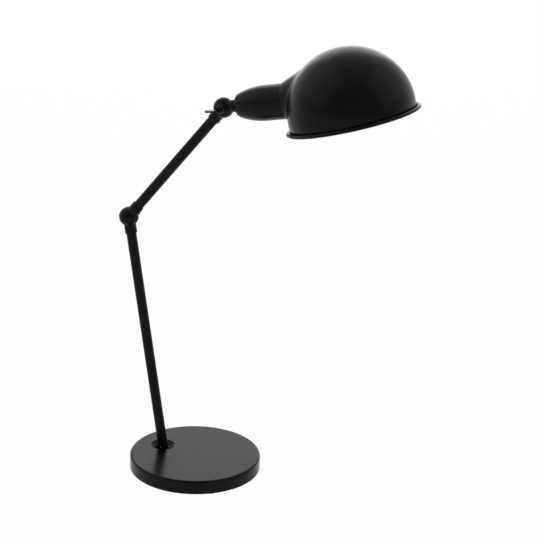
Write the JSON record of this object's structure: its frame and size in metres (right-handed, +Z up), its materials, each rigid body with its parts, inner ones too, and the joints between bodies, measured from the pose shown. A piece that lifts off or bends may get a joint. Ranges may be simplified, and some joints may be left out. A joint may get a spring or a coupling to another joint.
{
  "type": "dome shade desk lamp",
  "caption": "Jointed desk lamp: weighted round base, straight tube arms with ball knuckles and thumb levers, and a dome shade on a socket cup.",
  "frame": {"origin": "on the desk under the centre of the round base", "axes": "+Z up, +X from the foot of the arm towards the shade, +Y to the side that the elbow's thumb lever is on"},
  "size_m": [0.4485, 0.19, 0.6569],
  "materials": {
    "black_powder_coat": "fine satin black powder coat",
    "cast_iron_weight": "raw casting, dark grey",
    "zinc_plated_steel": "bright zinc plate",
    "black_oxide_steel": "black oxide",
    "black_rubber": "moulded, matte",
    "black_nylon": "moulded, matte",
    "friction_fibre": "pressed fibre",
    "terminal_plastic": "moulded, matte",
    "lead_sheath": "soft vinyl sheath",
    "bakelite": "moulded phenolic, gloss",
    "brass": "turned and drawn",
    "nickel_plate": "satin nickel plate",
    "cap_aluminium": "rolled thread cap",
    "frosted_glass": "frosted inside"
  },
  "bodies": {
    "base": {"base_shell": "black_powder_coat", "base_weight": "cast_iron_weight", "bottom_plate": "zinc_plated_steel", "rubber_feet": "black_rubber", "base_screws": "zinc_plated_steel", "cord_grommet": "black_rubber", "terminal_block": "terminal_plastic", "terminal_screws": "brass", "base_lead": "lead_sheath", "pivot_bracket": "zinc_plated_steel", "bracket_rivets": "zinc_plated_steel", "pivot_bolt": "zinc_plated_steel", "pivot_nut": "zinc_plated_steel", "pivot_spring_washer": "zinc_plated_steel", "pivot_friction_discs": "friction_fibre"},
    "lower_arm": {"arm_foot": "zinc_plated_steel", "foot_pin": "zinc_plated_steel", "lower_tube": "black_powder_coat", "elbow_lower_half": "black_powder_coat", "lower_set_screw": "black_oxide_steel", "elbow_friction_ring": "black_nylon", "lower_lead": "lead_sheath"},
    "upper_arm": {"elbow_upper_half": "black_powder_coat", "upper_tube": "black_powder_coat", "knuckle_arm_half": "black_powder_coat", "upper_set_screws": "black_oxide_steel", "upper_lead": "lead_sheath", "elbow_lever_washer": "black_nylon", "head_lever_washer": "black_nylon"},
    "head": {"knuckle_head_half": "black_powder_coat", "head_friction_ring": "black_nylon", "head_lead": "lead_sheath", "cup_nipple": "brass", "cup_nut": "brass", "socket_cup": "black_powder_coat", "lampholder_body": "bakelite", "thread_shell": "brass", "centre_contact": "brass", "shade_ring": "bakelite", "shade": "black_powder_coat", "bulb_glass": "frosted_glass", "bulb_cap": "cap_aluminium", "bulb_contact": "brass"},
    "elbow_lever": {"elbow_lever": "black_powder_coat"},
    "head_lever": {"head_lever": "black_powder_coat"}
  },
  "joints": [
    {"name": "base_tilt", "type": "hinge", "parent": "base", "child": "lower_arm", "pos_m": [-0.0527, 0, 0.0096], "axis": [0, 1, 0], "range_deg": [-20, 18]},
    {"name": "elbow", "type": "hinge", "parent": "lower_arm", "child": "upper_arm", "pos_m": [-0.11448, 0, 0.36568], "axis": [0, 1, 0], "range_deg": [-50, 56]},
    {"name": "head_tilt", "type": "hinge", "parent": "upper_arm", "child": "head", "pos_m": [0.03571, 0, 0.54794], "axis": [0, 1, 0], "range_deg": [-55, 65]},
    {"name": "elbow_lever_turn", "type": "hinge", "parent": "lower_arm", "child": "elbow_lever", "pos_m": [-0.11448, 0, 0.36568], "axis": [0, 1, 0], "range_deg": [0, 180]},
    {"name": "head_lever_turn", "type": "hinge", "parent": "head", "child": "head_lever", "pos_m": [0.03571, 0, 0.54794], "axis": [0, -1, 0], "range_deg": [0, 180]}
  ]
}
